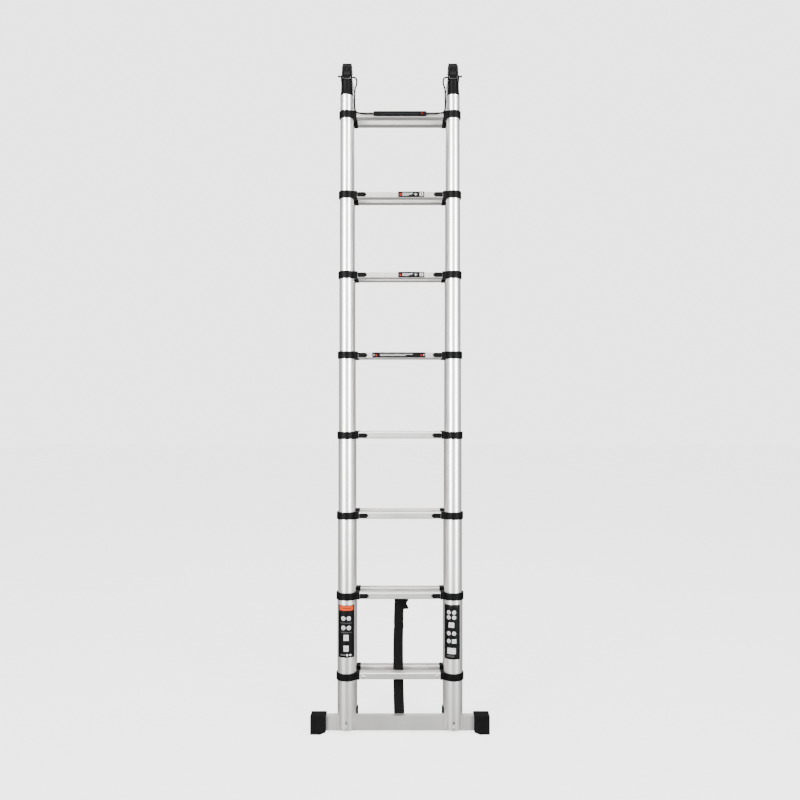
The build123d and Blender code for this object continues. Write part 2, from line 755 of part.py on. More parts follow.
def main():
    """Builds every node of the ladder."""
    os.makedirs("parts", exist_ok=True)
    for section in SECTIONS:
        for stage in range(1, STAGES + 1):
            stage_frame(stage, section)
            stage_collars(stage, section)
        for rung in range(2, STAGES + 1):
            for side in SIDES:
                release(rung, section, side)
    stabiliser_bar()
    stabiliser_feet()
    back_feet()
    save("hinge_front_arms", hinge_sockets("front"), tube_rivets("front"))
    save("hinge_back_arms", hinge_sockets("back"), tube_rivets("back"), pivot_bolts(), lock_wheels())
    save("hinge_release_levers", hinge_levers(), release_handle())
    release_cord()
    carry_strap()


main()
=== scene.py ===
"""Dresses the double telescoping ladder: studio, finishes, labels, hinge trim, release cord and strap."""
import logging
import math
from dataclasses import dataclass, field
from enum import Enum

import bmesh
import bpy
import numpy as np
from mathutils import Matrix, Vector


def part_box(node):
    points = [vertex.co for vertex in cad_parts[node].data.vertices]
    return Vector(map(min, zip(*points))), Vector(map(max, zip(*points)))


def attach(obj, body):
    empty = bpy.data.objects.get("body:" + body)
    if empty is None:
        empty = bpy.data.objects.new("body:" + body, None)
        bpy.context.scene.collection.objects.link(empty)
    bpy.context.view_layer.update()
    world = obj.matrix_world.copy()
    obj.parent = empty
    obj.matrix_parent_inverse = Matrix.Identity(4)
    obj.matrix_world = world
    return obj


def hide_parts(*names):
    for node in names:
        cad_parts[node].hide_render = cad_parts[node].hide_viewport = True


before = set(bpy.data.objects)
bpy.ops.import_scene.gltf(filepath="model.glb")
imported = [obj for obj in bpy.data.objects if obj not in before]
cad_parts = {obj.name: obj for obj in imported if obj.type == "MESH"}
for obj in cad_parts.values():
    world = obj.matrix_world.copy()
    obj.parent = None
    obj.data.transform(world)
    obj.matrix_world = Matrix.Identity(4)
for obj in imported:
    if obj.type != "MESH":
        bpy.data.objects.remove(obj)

LOG = logging.getLogger("ladder")
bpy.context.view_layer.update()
MM = 0.001
PIVOT = 2493.0
TOP_RUNG = 2316.0
STILE = 200.0
AXIS = 42.0
RUNG_1 = 216.0
PITCH = 300.0
HANDS = {-1: "left", 1: "right"}
SECTIONS = {-1: "front", 1: "back"}


class Run(Enum):
    """The direction in which an extruded or rolled surface was drawn."""

    UP = (1.0, 1.0, 0.004)
    ACROSS = (0.004, 1.0, 1.0)


class NodeBook:
    """A material under construction, with short calls for its shader nodes."""

    def __init__(self, name: str) -> None:
        """Starts an empty material with a Principled shader.

        Args:
            name: the material's name.
        """
        self.material = bpy.data.materials.new(name)
        self.material.use_nodes = True
        self.tree = self.material.node_tree
        self.shader = next(n for n in self.tree.nodes if n.type == "BSDF_PRINCIPLED")
        self.coordinates = self.tree.nodes.new("ShaderNodeTexCoord")

    def link(self, source: bpy.types.NodeSocket, target: bpy.types.NodeSocket) -> None:
        """Joins an output to an input."""
        self.tree.links.new(source, target)

    def value(self, operation: str, *inputs: object) -> bpy.types.NodeSocket:
        """A Math node.

        Args:
            operation: the Math node's operation.
            inputs: numbers or output sockets.

        Returns:
            The node's output socket.
        """
        node = self.tree.nodes.new("ShaderNodeMath")
        node.operation = operation
        for socket, item in zip(node.inputs, inputs):
            if isinstance(item, (int, float)):
                socket.default_value = item
            else:
                self.link(item, socket)
        return node.outputs[0]

    def place(self, uv: str = "Object") -> tuple[bpy.types.NodeSocket, ...]:
        """The X, Y and Z of the object or UV coordinates."""
        node = self.tree.nodes.new("ShaderNodeSeparateXYZ")
        self.link(self.coordinates.outputs[uv], node.inputs[0])
        return tuple(node.outputs)

    def noise(self, scale: float, stretch: tuple[float, float, float] = (1.0, 1.0, 1.0), detail: float = 3.0
              ) -> bpy.types.NodeSocket:
        """Noise on stretched coordinates.

        Args:
            scale: the noise's scale, per metre.
            stretch: how much each axis is scaled before the noise.
            detail: the noise's detail.

        Returns:
            The noise's factor, from 0 to 1.
        """
        mapping = self.tree.nodes.new("ShaderNodeMapping")
        mapping.inputs["Scale"].default_value = stretch
        self.link(self.coordinates.outputs["Object"], mapping.inputs["Vector"])
        texture = self.tree.nodes.new("ShaderNodeTexNoise")
        texture.inputs["Scale"].default_value = scale
        texture.inputs["Detail"].default_value = detail
        self.link(mapping.outputs["Vector"], texture.inputs["Vector"])
        return texture.outputs["Fac"]

    def spread(self, factor: bpy.types.NodeSocket, low: float, high: float) -> bpy.types.NodeSocket:
        """Maps a factor of 0 to 1 onto the range from low to high."""
        node = self.tree.nodes.new("ShaderNodeMapRange")
        self.link(factor, node.inputs["Value"])
        node.inputs["To Min"].default_value = low
        node.inputs["To Max"].default_value = high
        return node.outputs["Result"]

    def blend(self, factor: object, first: object, second: object) -> bpy.types.NodeSocket:
        """Mixes two colours.

        Args:
            factor: the share of the second colour, a number or a socket.
            first: a colour of three numbers, or a socket.
            second: a colour of three numbers, or a socket.

        Returns:
            The mixed colour's socket.
        """
        node = self.tree.nodes.new("ShaderNodeMix")
        node.data_type = "RGBA"
        inputs = (node.inputs["Factor"], node.inputs[6], node.inputs[7])
        for socket, item in zip(inputs, (factor, first, second)):
            if isinstance(item, bpy.types.NodeSocket):
                self.link(item, socket)
            elif isinstance(item, tuple):
                socket.default_value = (*item, 1.0)
            else:
                socket.default_value = item
        return node.outputs[2]

    def bump(self, height: bpy.types.NodeSocket, distance: float, strength: float = 1.0) -> None:
        """Puts a bump of that height, in metres, on the shader's normal."""
        node = self.tree.nodes.new("ShaderNodeBump")
        node.inputs["Strength"].default_value = strength
        node.inputs["Distance"].default_value = distance
        self.link(height, node.inputs["Height"])
        self.link(node.outputs["Normal"], self.shader.inputs["Normal"])

    def feed(self, name: str, source: object) -> None:
        """Sets or links one of the shader's inputs."""
        if isinstance(source, bpy.types.NodeSocket):
            self.link(source, self.shader.inputs[name])
        elif isinstance(source, tuple):
            self.shader.inputs[name].default_value = (*source, 1.0)
        else:
            self.shader.inputs[name].default_value = source


@dataclass(frozen=True)
class DrawnAluminium:
    """Satin anodised aluminium with fine die lines along the way it was drawn."""

    name: str = "satin_anodised_aluminium"
    colour: tuple[float, float, float] = (0.81, 0.793, 0.768)
    shade: tuple[float, float, float] = (0.70, 0.69, 0.672)
    roughness: float = 0.36
    rung_reach: float = 0.160

    def make(self) -> bpy.types.Material:
        """Die lines run up the tubes and across the rungs, told apart by their distance from the middle."""
        book = NodeBook(self.name)
        x = book.place()[0]
        on_rung = book.value("LESS_THAN", book.value("ABSOLUTE", x), self.rung_reach)
        up = book.noise(2600.0, Run.UP.value, 2.0)
        across = book.noise(2600.0, Run.ACROSS.value, 2.0)
        lines = book.value("ADD", book.value("MULTIPLY", across, on_rung),
                           book.value("MULTIPLY", up, book.value("SUBTRACT", 1.0, on_rung)))
        cloud = book.noise(9.0, (1.0, 1.0, 0.35), 4.0)
        tone = book.value("ADD", book.value("MULTIPLY", lines, 0.35), book.value("MULTIPLY", cloud, 0.65))
        book.feed("Base Color", book.blend(book.spread(tone, 0.0, 1.0), self.shade, self.colour))
        rough = book.value("ADD", book.spread(lines, -0.05, 0.05), book.spread(cloud, -0.05, 0.05))
        book.feed("Roughness", book.value("ADD", rough, self.roughness))
        book.feed("Metallic", 0.92)
        book.feed("Specular IOR Level", 0.5)
        book.bump(lines, 0.00003, 0.35)
        return book.material


@dataclass(frozen=True)
class MouldedPlastic:
    """Black glass-filled nylon with a fine spark-eroded grain."""

    name: str = "black_moulded_nylon"
    colour: tuple[float, float, float] = (0.0014, 0.0014, 0.0015)
    bloom: tuple[float, float, float] = (0.0034, 0.0034, 0.0036)
    roughness: float = 0.42
    grain: float = 1400.0
    depth: float = 0.00008
    shine: float = 0.04

    def make(self) -> bpy.types.Material:
        """A fine grain in relief, over slow cloudy changes of tone and gloss."""
        book = NodeBook(self.name)
        grain = book.noise(self.grain, detail=2.0)
        cloud = book.noise(28.0, detail=4.0)
        book.feed("Base Color", book.blend(cloud, self.colour, self.bloom))
        book.feed("Roughness", book.value("ADD", book.spread(cloud, -0.07, 0.07), self.roughness))
        book.feed("Specular IOR Level", self.shine)
        book.bump(grain, self.depth, 0.5)
        return book.material


@dataclass(frozen=True)
class ZincSteel:
    """Zinc-plated steel of the hinge plates, bolts and screws."""

    name: str = "zinc_plated_steel"
    colour: tuple[float, float, float] = (0.62, 0.62, 0.61)
    roughness: float = 0.3

    def make(self) -> bpy.types.Material:
        """A faint spangle in tone, gloss and relief."""
        book = NodeBook(self.name)
        spangle = book.noise(160.0, detail=5.0)
        dull = tuple(0.8 * c for c in self.colour)
        book.feed("Base Color", book.blend(spangle, dull, self.colour))
        book.feed("Roughness", book.spread(spangle, self.roughness - 0.08, self.roughness + 0.1))
        book.feed("Metallic", 1.0)
        book.bump(spangle, 0.00004, 0.3)
        return book.material


@dataclass(frozen=True)
class Webbing:
    """Black polyester webbing, woven in fine ribs along its UV map, which is in metres."""

    name: str = "black_polyester_webbing"
    rib: float = 0.0016
    pick: float = 0.0011

    def make(self) -> bpy.types.Material:
        """Warp ribs cross weft picks in a plain weave: the product of two sines."""
        book = NodeBook(self.name)
        u, v = book.place("UV")[:2]
        warp = book.value("SINE", book.value("MULTIPLY", u, 2 * math.pi / self.rib))
        weft = book.value("SINE", book.value("MULTIPLY", v, 2 * math.pi / self.pick))
        weave = book.value("MULTIPLY_ADD", book.value("MULTIPLY", warp, weft), 0.5, 0.5)
        fibre = book.noise(900.0, (1.0, 1.0, 0.2), 3.0)
        tone = book.value("MULTIPLY", weave, fibre)
        book.feed("Base Color", book.blend(tone, (0.0008, 0.0008, 0.0008), (0.0045, 0.0045, 0.005)))
        book.feed("Roughness", book.spread(weave, 0.82, 0.66))
        book.feed("Sheen Weight", 0.01)
        book.feed("Specular IOR Level", 0.05)
        book.bump(weave, 0.0004, 0.8)
        return book.material


@dataclass(frozen=True)
class Braid:
    """Black braided cord, plaited on its UV map: turns round it, metres along it."""

    name: str = "black_braided_cord"
    carriers: float = 8.0
    pitch: float = 0.009

    def make(self) -> bpy.types.Material:
        """Two sets of strands wind opposite ways, and the higher one shows."""
        book = NodeBook(self.name)
        u, v = book.place("UV")[:2]
        along = book.value("MULTIPLY", v, 2 * math.pi * self.carriers / self.pitch / 4)
        around = book.value("MULTIPLY", u, 2 * math.pi * self.carriers / 2)
        left = book.value("SINE", book.value("ADD", around, along))
        right = book.value("SINE", book.value("SUBTRACT", around, along))
        plait = book.value("MULTIPLY_ADD", book.value("MULTIPLY", left, right), 0.5, 0.5)
        book.feed("Base Color", book.blend(plait, (0.001, 0.001, 0.001), (0.005, 0.005, 0.0055)))
        book.feed("Roughness", book.spread(plait, 0.75, 0.5))
        book.feed("Specular IOR Level", 0.05)
        book.bump(plait, 0.0005, 0.8)
        return book.material


@dataclass(frozen=True)
class Print:
    """One ink of a printed vinyl label."""

    name: str
    colour: tuple[float, float, float]
    roughness: float = 0.34

    def make(self) -> bpy.types.Material:
        """A flat ink with a slight orange-peel."""
        book = NodeBook(self.name)
        peel = book.noise(420.0, detail=2.0)
        darker = tuple(0.88 * c for c in self.colour)
        book.feed("Base Color", book.blend(peel, darker, self.colour))
        book.feed("Roughness", book.spread(peel, self.roughness - 0.05, self.roughness + 0.08))
        book.feed("Specular IOR Level", 0.08)
        book.bump(peel, 0.00004, 0.2)
        return book.material


class Shop:
    """Makes each finish once and hands it out."""

    def __init__(self) -> None:
        """Starts with no finish made."""
        self.made: dict[str, bpy.types.Material] = {}

    def get(self, finish: object) -> bpy.types.Material:
        """The material of a finish, made on first use."""
        if finish.name not in self.made:
            self.made[finish.name] = finish.make()
        return self.made[finish.name]


SHOP = Shop()
ALUMINIUM = DrawnAluminium()
NYLON = MouldedPlastic()
BUTTON = MouldedPlastic("black_button_plastic", (0.002, 0.002, 0.002), (0.005, 0.005, 0.005), 0.34,
                        900.0, 0.00005)
RUBBER = MouldedPlastic("black_rubber", (0.0016, 0.0016, 0.0016), (0.0042, 0.0042, 0.0042), 0.62,
                        700.0, 0.00015, 0.03)
STEEL = ZincSteel()
PLATE = ZincSteel("hinge_plate_steel", (0.2, 0.2, 0.195))
INK_BLACK = Print("label_black", (0.0016, 0.0016, 0.0018), 0.42)
INK_PALE = Print("label_pale", (0.4, 0.4, 0.4))
# Grey label ink; the rung rivets' grey discs also use it, as painted shadow round their heads.
GREY_INK_AND_PAINTED_SHADE = Print("grey_print_and_painted_shade", (0.12, 0.12, 0.125))
INK_DIM = Print("label_dim", (0.03, 0.03, 0.03))
INK_RED = Print("label_red", (0.3, 0.008, 0.006))
INK_ORANGE = Print("label_orange", (0.34, 0.034, 0.006))


@dataclass
class Surface:
    """A mesh under construction, from numpy grids and polygons in metres."""

    name: str
    points: list[np.ndarray] = field(default_factory=list)
    faces: list[list[int]] = field(default_factory=list)
    uvs: list[np.ndarray] = field(default_factory=list)
    inks: list[int] = field(default_factory=list)
    count: int = 0

    def add(self, points: np.ndarray, faces: np.ndarray | list,
            uv: np.ndarray | None = None, ink: int = 0) -> None:
        """Adds points and the faces between them.

        Args:
            points: n by 3 array.
            faces: indices into those points, one row a face.
            uv: n by 2 array, in the map's own units.
            ink: the material index of these faces.
        """
        self.points.append(points)
        self.uvs.append(np.zeros((len(points), 2)) if uv is None else uv)
        rows = [[int(i) + self.count for i in row] for row in faces]
        self.faces += rows
        self.inks += [ink] * len(rows)
        self.count += len(points)

    def grid(self, points: np.ndarray, uv: np.ndarray | None = None, wrap: bool = False,
             ink: int = 0) -> None:
        """Adds a rows by columns by 3 grid as quads.

        Args:
            points: the grid; a row's last column joins its first if wrap.
            uv: the grid's UV, rows by columns by 2.
            wrap: whether columns close on themselves.
            ink: the material index.
        """
        rows, columns = points.shape[:2]
        index = np.arange(rows * columns).reshape(rows, columns)
        right = np.roll(index, -1, axis=1) if wrap else index[:, 1:]
        left = index if wrap else index[:, :-1]
        quads = np.stack([left[:-1], right[:-1], right[1:], left[1:]], axis=-1).reshape(-1, 4)
        flat = None if uv is None else uv.reshape(-1, 2)
        self.add(points.reshape(-1, 3), quads, flat, ink)

    def ring_tube(self, path: np.ndarray, radius: float, sides: int = 14) -> None:
        """Carries a circle along a path, with parallel frames, and closes both ends.

        Args:
            path: n by 3 points.
            radius: the tube's radius.
            sides: points round the tube.
        """
        tangent = np.gradient(path, axis=0)
        tangent /= np.linalg.norm(tangent, axis=1, keepdims=True)
        normal = np.zeros_like(path)
        guess = np.array([0.0, 1.0, 0.0])
        for row, along in enumerate(tangent):
            guess = guess - along * guess.dot(along)
            guess /= np.linalg.norm(guess)
            normal[row] = guess
        side = np.cross(tangent, normal)
        angle = np.linspace(0, 2 * math.pi, sides + 1)
        across, along = (wave(angle)[None, :, None] for wave in (np.cos, np.sin))
        rings = path[:, None] + radius * (across * normal[:, None] + along * side[:, None])
        length = np.concatenate([[0], np.cumsum(np.linalg.norm(np.diff(path, axis=0), axis=1))])
        uv = np.stack(np.broadcast_arrays(angle[None] / (2 * math.pi), length[:, None]), axis=-1)
        self.grid(rings, uv)
        for end, order in ((0, 1), (-1, -1)):
            loop = rings[end, :-1][::order]
            self.add(loop, [list(range(sides))])

    def lathe(self, profile: list[tuple[float, float]], x: float, sides: int = 64) -> None:
        """Turns a closed profile about the hinge's axis: a point is a circle of its radius round the pivot.

        Args:
            profile: (distance along X from x, radius) points, in millimetres.
            x: X of the profile's zero, in millimetres.
            sides: points round the axis.
        """
        loop = np.array([*profile, profile[0]]) * MM
        angle = np.linspace(0, 2 * math.pi, sides, endpoint=False)
        y = loop[:, 1:] * np.cos(angle)
        z = PIVOT * MM + loop[:, 1:] * np.sin(angle)
        along = np.broadcast_to(x * MM + loop[:, :1], y.shape)
        self.grid(np.stack([along, y, z], axis=-1), wrap=True)

    def loft(self, rings: np.ndarray, ink: int = 0) -> None:
        """Joins rings of equal count, one after another, and closes both ends.

        Args:
            rings: rings by points by 3.
            ink: the material index.
        """
        sides = rings.shape[1]
        self.grid(rings, wrap=True, ink=ink)
        self.add(rings[0], [list(range(sides))[::-1]], ink=ink)
        self.add(rings[-1], [list(range(sides))], ink=ink)

    def build(self, finishes: list, weld: float = 1e-6) -> bpy.types.Object:
        """Makes the object at the origin, shaded smooth by angle, with its UV map and its materials.

        Args:
            finishes: one finish for each ink index.
            weld: distance under which points are merged.

        Returns:
            The new object.
        """
        mesh = bpy.data.meshes.new(self.name)
        points = np.concatenate(self.points)
        mesh.from_pydata(points.tolist(), [], self.faces)
        layer = mesh.uv_layers.new(name="UVMap")
        loops = np.zeros(len(mesh.loops), np.int32)
        mesh.loops.foreach_get("vertex_index", loops)
        layer.data.foreach_set("uv", np.concatenate(self.uvs)[loops].astype(np.float32).ravel())
        mesh.polygons.foreach_set("material_index", np.array(self.inks, np.int32))
        mesh.polygons.foreach_set("use_smooth", [True] * len(mesh.polygons))
        for finish in finishes:
            mesh.materials.append(SHOP.get(finish))
        item = bpy.data.objects.new(self.name, mesh)
        bpy.context.scene.collection.objects.link(item)
        if weld:
            merge(item, weld)
        mesh.set_sharp_from_angle(angle=math.radians(35))
        return item


def merge(item: bpy.types.Object, distance: float) -> None:
    """Merges doubled points and turns the faces outwards."""
    book = bmesh.new()
    book.from_mesh(item.data)
    bmesh.ops.remove_doubles(book, verts=book.verts, dist=distance)
    bmesh.ops.recalc_face_normals(book, faces=book.faces)
    book.to_mesh(item.data)
    book.free()


def rounded(item: bpy.types.Object, width: float, segments: int = 3) -> bpy.types.Object:
    """Rounds an object's sharp edges with a Bevel modifier."""
    bevel = item.modifiers.new("edges", "BEVEL")
    bevel.width = width
    bevel.segments = segments
    bevel.limit_method = "ANGLE"
    bevel.angle_limit = math.radians(30)
    bevel.harden_normals = True
    return item


def rung_height(rung: int) -> float:
    """The middle of a rung, in millimetres: the lowest one's height and a pitch for each one above it."""
    return RUNG_1 + PITCH * (rung - 1)


def circle(centre: tuple[float, float, float], radius: float, axis: int, sides: int) -> np.ndarray:
    """A circle about an axis: the cosine goes along the first of the two others, the sine along the second.

    Args:
        centre: its middle.
        radius: its radius.
        axis: 0, 1 or 2, the axis that it turns about.
        sides: how many points.

    Returns:
        sides by 3 points, in the centre's unit.
    """
    angle = np.linspace(0, 2 * math.pi, sides, endpoint=False)
    points = np.tile(np.array(centre, float), (sides, 1))
    points[:, [a for a in (0, 1, 2) if a != axis]] += radius * np.stack([np.cos(angle), np.sin(angle)], -1)
    return points


def add_prism(surface: Surface, outline: np.ndarray, low: float, high: float, axis: int,
              ink: int = 0) -> None:
    """Adds a flat outline given thickness to a surface.

    Args:
        surface: what it is added to.
        outline: n by 2 points, in the two axes that are left, in X, Y, Z order.
        low: start along the axis.
        high: end along the axis.
        axis: 0, 1 or 2, the axis of the thickness.
        ink: the material index.
    """
    n = len(outline)
    rest = [a for a in (0, 1, 2) if a != axis]
    points = np.zeros((2 * n, 3))
    points[:, rest] = np.concatenate([outline, outline])
    points[:n, axis] = low
    points[n:, axis] = high
    sides = [[i, (i + 1) % n, n + (i + 1) % n, n + i] for i in range(n)]
    surface.add(points, [list(range(n))[::-1], list(range(n, 2 * n)), *sides], ink=ink)


def rectangle(width: float, height: float, centre: tuple[float, float], corner: float = 0.0) -> np.ndarray:
    """A rectangle's points, n by 2, with round corners if corner isn't 0."""
    if not corner:
        half = np.array([[-1, -1], [1, -1], [1, 1], [-1, 1]]) * (width / 2, height / 2)
        return half + centre
    angle = np.linspace(0, math.pi / 2, 6)
    arcs = []
    for turn, sx, sy in ((0, 1, 1), (1, -1, 1), (2, -1, -1), (3, 1, -1)):
        middle = np.array([sx * (width / 2 - corner), sy * (height / 2 - corner)])
        bend = angle + turn * math.pi / 2
        arcs.append(middle + corner * np.stack([np.cos(bend), np.sin(bend)], axis=1))
    return np.concatenate(arcs) + centre


@dataclass
class Studio:
    """Camera, lights, floor and the white surround."""

    distance: float = 3.065
    height: float = 1.248
    lens: float = 36.7
    glare: float = 3.2
    floor: float = 40.0

    def camera(self) -> None:
        """Stands level in front of the ladder's middle."""
        eye = bpy.data.objects.new("camera", bpy.data.cameras.new("camera"))
        bpy.context.scene.collection.objects.link(eye)
        eye.data.lens = self.lens
        eye.data.sensor_width = 36.0
        eye.location = (0.0, -AXIS * MM - self.distance, self.height)
        eye.rotation_euler = (math.pi / 2, 0.0, 0.0)
        bpy.context.scene.camera = eye

    def ground(self) -> None:
        """A floor that glows white, as the surround does, and leaves the lighting to the lamps."""
        surface = Surface("studio_floor")
        half = self.floor / 2
        side = np.linspace(-half, half, 5)
        x, y = np.meshgrid(side, side)
        surface.grid(np.stack([x, y, np.zeros_like(x)], axis=-1))
        paper = NodeBook("white_paper")
        cloud = paper.noise(0.7, detail=3.0)
        paper.feed("Base Color", paper.blend(cloud, (0.16, 0.16, 0.16), (0.2, 0.2, 0.2)))
        paper.feed("Roughness", 0.9)
        paper.feed("Emission Color", (1.0, 1.0, 1.0))
        paper.feed("Emission Strength", self.glare - 0.2)
        item = surface.build([], weld=0.0)
        item.data.materials.append(paper.material)
        item.visible_diffuse = False
        item.visible_glossy = False

    def surround(self) -> None:
        """White to the eye, and a soft grey in reflections and for lighting."""
        world = bpy.data.worlds.new("surround")
        bpy.context.scene.world = world
        world.use_nodes = True
        tree = world.node_tree
        shade = tree.nodes["Background"]
        shade.inputs["Color"].default_value = (0.62, 0.62, 0.63, 1.0)
        shade.inputs["Strength"].default_value = 0.5
        white = tree.nodes.new("ShaderNodeBackground")
        white.inputs["Color"].default_value = (1.0, 1.0, 1.0, 1.0)
        white.inputs["Strength"].default_value = self.glare
        path = tree.nodes.new("ShaderNodeLightPath")
        mix = tree.nodes.new("ShaderNodeMixShader")
        tree.links.new(path.outputs["Is Camera Ray"], mix.inputs["Fac"])
        tree.links.new(shade.outputs[0], mix.inputs[1])
        tree.links.new(white.outputs[0], mix.inputs[2])
        tree.links.new(mix.outputs[0], tree.nodes["World Output"].inputs["Surface"])

    def softbox(self, name: str, place: tuple[float, float, float], size: tuple[float, float],
                watts: float) -> None:
        """An area light aimed at the ladder's middle."""
        light = bpy.data.lights.new(name, "AREA")
        light.shape = "RECTANGLE"
        light.size, light.size_y = size
        light.energy = watts
        item = bpy.data.objects.new(name, light)
        bpy.context.scene.collection.objects.link(item)
        item.location = place
        aim = np.array([0.0, 0.0, 1.2]) - np.array(place)
        flat = math.hypot(aim[0], aim[1])
        item.rotation_euler = (math.pi / 2 + math.atan2(aim[2], flat), 0.0, math.atan2(-aim[0], aim[1]))

    def build(self) -> None:
        """Makes the whole studio."""
        self.camera()
        self.ground()
        self.surround()
        self.softbox("key", (-2.3, -3.1, 2.0), (1.2, 4.0), 640.0)
        self.softbox("fill", (2.5, -2.8, 1.9), (1.0, 4.0), 520.0)
        self.softbox("top", (0.0, -0.9, 4.8), (4.0, 3.0), 260.0)
        self.softbox("back", (0.0, 3.4, 4.0), (3.0, 1.4), 130.0)
        LOG.info("studio ready")


@dataclass
class CadDressing:
    """Finishes for the nodes whose shape stays."""

    def finish_for(self, node: str) -> object:
        """The finish of a CAD node, from its name."""
        if "frame" in node or node == "stabiliser_bar":
            return ALUMINIUM
        if "release_left" in node or "release_right" in node:
            return BUTTON
        if "feet" in node:
            return RUBBER
        return NYLON

    def build(self) -> None:
        """Puts each node's finish in its material slots."""
        for name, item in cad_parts.items():
            material = SHOP.get(self.finish_for(name))
            if not item.material_slots:
                item.data.materials.append(material)
            for place in item.material_slots:
                place.material = material
        LOG.info("%d nodes dressed", len(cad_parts))


@dataclass
class ReleaseCord:
    """The braided cord from the knot outside each hinge to the handle on the top rung."""

    diameter: float = 0.006
    route: tuple[tuple[float, float, float], ...] = (
        (229.0, -39.0, PIVOT - 28.0),
        (218.0, -39.0, PIVOT - 31.0),
        (188.0, -39.2, PIVOT - 31.2),
        (169.0, -41.0, PIVOT - 32.0),
        (162.0, -46.0, PIVOT - 42.0),
        (162.0, -52.0, PIVOT - 64.0),
        (169.0, -55.0, TOP_RUNG + 98.0),
        (169.5, -61.0, TOP_RUNG + 60.0),
        (169.0, -66.5, TOP_RUNG + 22.0),
        (165.0, -67.5, TOP_RUNG + 5.0),
        (150.0, -67.5, TOP_RUNG + 0.5),
        (118.5, -67.0, TOP_RUNG - 1.0),
        (98.5, -66.5, TOP_RUNG),
    )

    def line(self, side: int) -> np.ndarray:
        """Points along the route's NURBS curve.

        Args:
            side: -1 for the left cord, 1 for the right one.

        Returns:
            n by 3 points, in metres.
        """
        curve = bpy.data.curves.new("route", "CURVE")
        curve.dimensions = "3D"
        spline = curve.splines.new("NURBS")
        spline.points.add(len(self.route) - 1)
        for point, (x, y, z) in zip(spline.points, self.route):
            point.co = (side * x * MM, y * MM, z * MM, 1.0)
        spline.order_u = 3
        spline.use_endpoint_u = True
        spline.resolution_u = 12
        item = bpy.data.objects.new("route", curve)
        bpy.context.scene.collection.objects.link(item)
        mesh = bpy.data.meshes.new_from_object(item)
        points = np.zeros(len(mesh.vertices) * 3)
        mesh.vertices.foreach_get("co", points)
        bpy.data.objects.remove(item)
        bpy.data.curves.remove(curve)
        bpy.data.meshes.remove(mesh)
        return points.reshape(-1, 3)

    def knot(self, side: int) -> bpy.types.Object:
        """The knot that stops the cord outside the hinge: a ball, pinched by the turns of the cord."""
        surface = Surface(f"cord_knot_{HANDS[side]}")
        centre = np.array([side * (self.route[0][0] + 1.0), self.route[0][1], self.route[0][2]]) * MM
        around, along = np.meshgrid(np.linspace(0, 2 * math.pi, 33), np.linspace(0.0, math.pi, 17))
        radius = (4.4 + 0.4 * np.sin(3 * around + 4 * along)) * MM
        x = centre[0] + side * 0.8 * radius * np.cos(along)
        y = centre[1] + radius * np.sin(along) * np.cos(around)
        z = centre[2] + radius * np.sin(along) * np.sin(around)
        uv = np.stack([around / (2 * math.pi), along * 0.004], axis=-1)
        surface.grid(np.stack([x, y, z], axis=-1), uv)
        return surface.build([Braid()])

    def build(self) -> None:
        """Both cords, with their knots."""
        for side, hand in HANDS.items():
            path = self.line(side)
            surface = Surface(f"release_cord_{hand}")
            surface.ring_tube(path, self.diameter / 2)
            tube = surface.build([Braid()])
            knot = self.knot(side)
            for piece in (tube, knot):
                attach(piece, "hinge_release")
            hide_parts("release_cord")


@dataclass
class Strap:
    """The webbing strap that hangs behind the second front rung, with its buckle."""

    width: float = 0.038
    thickness: float = 0.0018
    rows: int = 90
    rivet: tuple[float, float, float] = (0.0, -21.2, 516.0)
    dome: tuple[tuple[float, float], ...] = ((0.0, 1.5), (2.6, 1.4), (4.6, 1.0), (5.6, 0.5), (5.8, 0.0))
    buckle_depth: tuple[float, float] = (-0.0199, -0.0139)
    slot_depth: tuple[float, float] = (-0.0203, -0.0136)
    buckle: tuple[tuple[float, float], ...] = (
        (4, 500), (31.5, 500), (32, 488), (26.5, 484), (25.5, 474), (32.5, 463), (32, 457), (4, 456))

    def webbing(self) -> bpy.types.Object:
        """A strip hung down: its middle leans to the left and bows, and its edges curl a little.

        Returns:
            The strip, given its thickness by Solidify.
        """
        low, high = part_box("carry_strap")
        top, bottom = high[2], low[2]
        front = low[1]
        t, s = np.meshgrid(np.linspace(0, 1, self.rows), np.linspace(-1, 1, 9), indexing="ij")
        kink = np.exp(-((t - 0.27) / 0.02) ** 2)
        width = self.width * (0.93 + 0.12 * t) / 2
        x = s * width - 0.0018 - 0.0052 * np.sin(math.pi * t) + 0.0012 * kink
        bow = 0.010 * np.sin(math.pi * t) ** 1.5 + 0.0015 * kink * s
        y = front + 0.0022 + bow + 0.0008 * s ** 2 * np.sin(9 * t)
        z = top + (bottom - top) * t
        surface = Surface("strap_webbing")
        uv = np.stack([s * width, t * (top - bottom)], axis=-1)
        surface.grid(np.stack([x, y, z], axis=-1), uv)
        item = surface.build([Webbing()])
        solid = item.modifiers.new("cloth", "SOLIDIFY")
        solid.thickness = self.thickness
        solid.offset = 0.0
        return item

    def build(self) -> None:
        """The webbing and its fittings."""
        item = self.webbing()
        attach(item, "front_base")
        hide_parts("carry_strap")
        self.fittings()
        LOG.info("strap ready")

    def fittings(self) -> None:
        """The notched buckle with its slot, and the domed rivet through the webbing."""
        buckle = Surface("strap_buckle")
        add_prism(buckle, np.array(self.buckle) * MM, *self.buckle_depth, 1)
        add_prism(buckle, rectangle(0.0085, 0.0016, (0.025, 0.4945)), *self.slot_depth, 1, 1)
        item = rounded(buckle.build([NYLON, STEEL]), 0.0009)
        rivet = Surface("strap_rivet")
        x, y, z = self.rivet
        rivet.grid(np.array([circle((x, y + drop, z), r, 1, 32) for r, drop in self.dome]) * MM, wrap=True)
        for piece in (item, rivet.build([STEEL])):
            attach(piece, "front_base")


class Mark(Enum):
    """The plain shapes that labels are printed with."""

    BLOCK = 0
    DISC = 1
    TRIANGLE = 2


